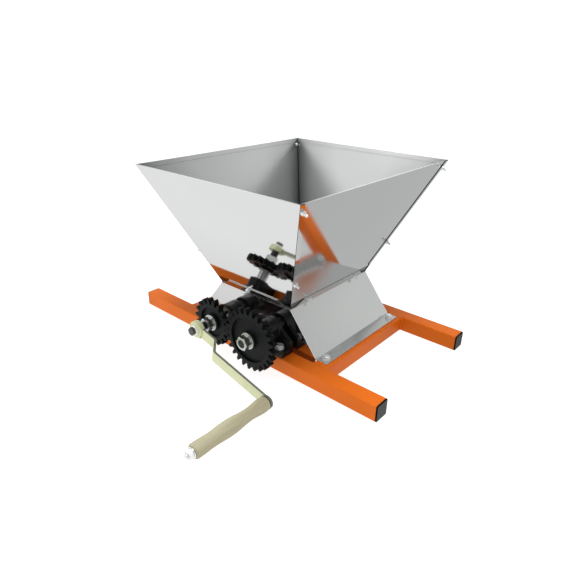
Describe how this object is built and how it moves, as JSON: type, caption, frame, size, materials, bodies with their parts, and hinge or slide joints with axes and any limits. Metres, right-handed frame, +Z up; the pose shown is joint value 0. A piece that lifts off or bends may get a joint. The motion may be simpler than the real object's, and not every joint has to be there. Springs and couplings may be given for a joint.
{
  "type": "hand-cranked grape crusher",
  "caption": "Tabletop fruit crusher: sheet-steel hopper over two fluted rollers, meshed gears and a cranked wood grip, on a welded tube frame.",
  "frame": {"origin": "on the floor, under the middle of the opening between the frame tubes where juice and skins fall out", "axes": "+Z up, +X to the right along the two long frame tubes, -Y towards the gears and crank"},
  "size_m": [0.55, 0.5786, 0.31],
  "materials": {
    "frame_paint": "orange powder coat, semi-gloss",
    "plug_plastic": "black moulded, satin",
    "hopper_steel": "bright rolled stainless steel",
    "skirt_steel": "satin stainless steel",
    "end_plate_steel": "bright rolled stainless steel",
    "block_black": "black enamel on a casting, satin",
    "bush_bronze": "oiled sintered bronze, dulled",
    "gear_black": "moulded nylon, satin",
    "roller_aluminium": "extruded, satin",
    "shaft_steel": "drawn and turned steel",
    "crank_paint": "pale passivated zinc over steel, satin",
    "dark_steel": "black oxide",
    "zinc_steel": "bright zinc plate",
    "grip_wood": "turned beech, oiled"
  },
  "bodies": {
    "frame_body": {"long_tube_front": "frame_paint", "long_tube_rear": "frame_paint", "cross_tube_left": "frame_paint", "cross_tube_right": "frame_paint", "tube_end_plugs": "plug_plastic", "frame_threaded_inserts": "zinc_steel", "skirt_left": "skirt_steel", "skirt_right": "skirt_steel", "skirt_bolts": "zinc_steel", "skirt_washers": "zinc_steel", "end_plate_front": "end_plate_steel", "end_plate_rear": "end_plate_steel", "hopper_panel_front": "hopper_steel", "hopper_panel_rear": "hopper_steel", "hopper_panel_left": "hopper_steel", "hopper_panel_right": "hopper_steel", "hopper_corner_bolts": "zinc_steel", "hopper_corner_nuts": "zinc_steel", "hopper_base_bolts": "zinc_steel", "hopper_base_nuts": "zinc_steel", "bearing_block_front": "block_black", "bearing_block_rear": "block_black", "bearing_bushes_front": "bush_bronze", "bearing_bushes_rear": "bush_bronze", "block_bolts": "zinc_steel", "block_washers": "zinc_steel"},
    "drive_body": {"drive_shaft": "shaft_steel", "drive_roller": "roller_aluminium", "drive_roller_pins": "zinc_steel", "drive_gear": "gear_black", "drive_gear_key": "zinc_steel", "drive_gear_washer": "zinc_steel", "drive_gear_nut": "zinc_steel", "drive_shaft_collar": "shaft_steel", "drive_collar_screw": "dark_steel", "crank_hub": "crank_paint", "crank_set_screw": "dark_steel", "crank_arm": "crank_paint", "crank_end_washers": "zinc_steel", "crank_end_bolt": "dark_steel", "grip_spindle": "zinc_steel", "grip_spindle_nut": "zinc_steel", "grip_inner_washer": "dark_steel", "grip_outer_washer": "zinc_steel"},
    "driven_body": {"driven_shaft": "shaft_steel", "driven_roller": "roller_aluminium", "driven_roller_pins": "zinc_steel", "driven_gear": "gear_black", "driven_gear_key": "zinc_steel", "driven_gear_washer": "zinc_steel", "driven_gear_nut": "zinc_steel", "driven_shaft_collar": "shaft_steel", "driven_collar_screw": "dark_steel"},
    "grip_body": {"wood_grip": "grip_wood"}
  },
  "joints": [
    {"name": "crank_spin", "type": "hinge", "parent": "frame_body", "child": "drive_body", "pos_m": [-0.036, 0, 0.0604], "axis": [0, 1, 0], "continuous": true},
    {"name": "driven_spin", "type": "hinge", "parent": "frame_body", "child": "driven_body", "pos_m": [0.052, 0, 0.0604], "axis": [0, 1, 0], "continuous": true},
    {"name": "grip_spin", "type": "hinge", "parent": "drive_body", "child": "grip_body", "pos_m": [0.14161, -0.298, 0.0163], "axis": [0, 1, 0], "continuous": true}
  ],
  "couplings": [
    {"joint": "driven_spin", "follows": "crank_spin", "ratio": -0.76}
  ]
}
